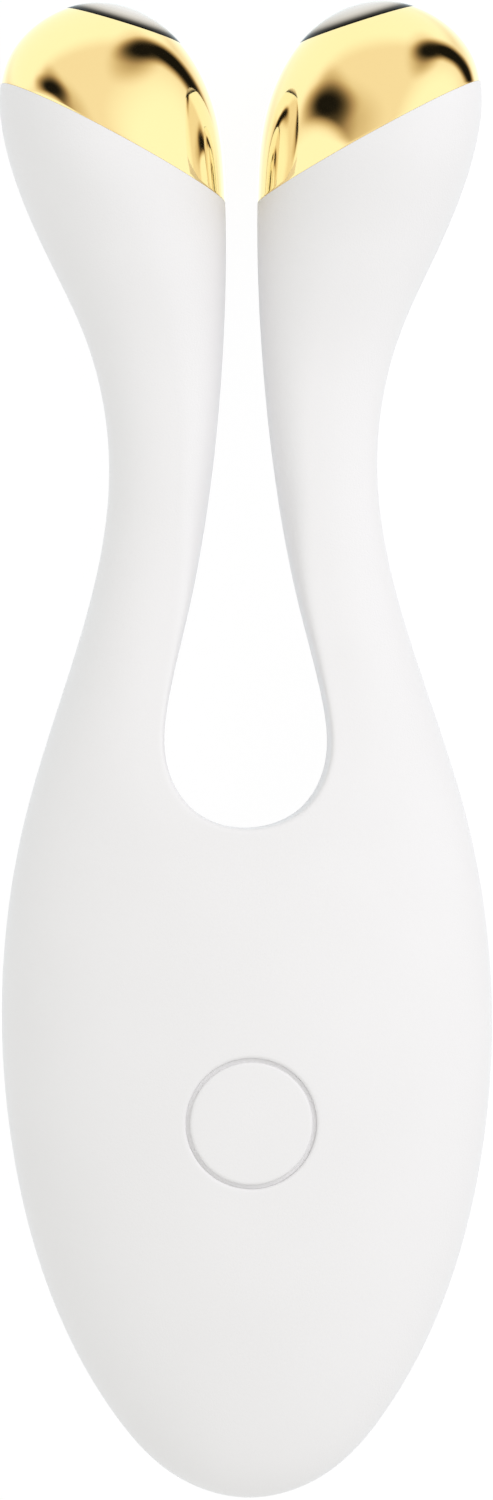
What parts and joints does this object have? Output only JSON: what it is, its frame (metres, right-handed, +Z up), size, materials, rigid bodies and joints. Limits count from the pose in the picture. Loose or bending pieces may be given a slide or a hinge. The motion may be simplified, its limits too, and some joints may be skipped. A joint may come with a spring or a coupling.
{
  "type": "facial lifting device",
  "caption": "Hand-held facial lifting device: a white egg-shaped handle with a round button, forked into slim arms that end in gold contact heads.",
  "frame": {"origin": "under the middle of the outline, on the flat face that it rests on", "axes": "+X across the device, to the right seen from the front; +Y from the handle's tip to the heads; +Z up out of the front face with the button"},
  "size_m": [0.0508, 0.155, 0.0254],
  "materials": {
    "skin": "soft-touch white silicone skin over a plastic shell",
    "gold_plate": "mirror gold plate",
    "tip_lens": "polished smoky plastic",
    "seal_rubber": "plain",
    "core_plastic": "moulded",
    "circuit_board": "green solder mask",
    "led_resin": "clear yellow resin",
    "black_plastic": "moulded",
    "steel": "bright",
    "ferrite": "dark ferrite",
    "plug_plastic": "moulded",
    "cell_foil": "foil pouch",
    "foam": "open foam",
    "brass_weight": "machined",
    "flex_film": "amber film",
    "lead_red": "insulation",
    "lead_black": "insulation",
    "lead_white": "insulation"
  },
  "bodies": {
    "housing": {"battery": "cell_foil", "battery_lead_black": "lead_black", "battery_lead_red": "lead_red", "battery_pad": "foam", "battery_plug": "plug_plastic", "board_screw_1": "steel", "board_screw_2": "steel", "board_screw_3": "steel", "board_screw_4": "steel", "boost_inductor": "ferrite", "cap_contact_left": "gold_plate", "cap_contact_right": "gold_plate", "charge_base": "black_plastic", "charge_contact_left": "gold_plate", "charge_contact_right": "gold_plate", "charge_flex": "flex_film", "charge_magnet_1": "steel", "charge_magnet_2": "steel", "front_cover": "skin", "gold_cap_left": "gold_plate", "gold_cap_right": "gold_plate", "head_carrier_left": "core_plastic", "head_carrier_right": "core_plastic", "head_lead_left": "lead_white", "head_lead_right": "lead_white", "head_seal_left": "seal_rubber", "head_seal_right": "seal_rubber", "led_board_left": "circuit_board", "led_board_right": "circuit_board", "led_left": "led_resin", "led_right": "led_resin", "lens_seal_left": "seal_rubber", "lens_seal_right": "seal_rubber", "main_board": "circuit_board", "microcontroller": "black_plastic", "motor_can": "steel", "motor_lead_black": "lead_black", "motor_lead_red": "lead_red", "motor_sleeve": "seal_rubber", "outer_seal": "seal_rubber", "output_transformer": "ferrite", "rear_cover": "skin", "slot_seal": "seal_rubber", "switch_body": "black_plastic", "tip_lens_left": "tip_lens", "tip_lens_right": "tip_lens"},
    "button": {"power_button": "skin", "switch_plunger": "steel"},
    "rotor": {"motor_shaft": "steel", "eccentric_weight": "brass_weight"}
  },
  "joints": [
    {"name": "button_press", "type": "slide", "parent": "housing", "child": "button", "axis": [0, 0, -1], "range_m": [0, 0.0005], "stiffness_N_per_m": 3000},
    {"name": "rotor_spin", "type": "hinge", "parent": "housing", "child": "rotor", "pos_m": [0.0025, -0.01597, 0.0119], "axis": [1, 0, 0], "continuous": true}
  ]
}
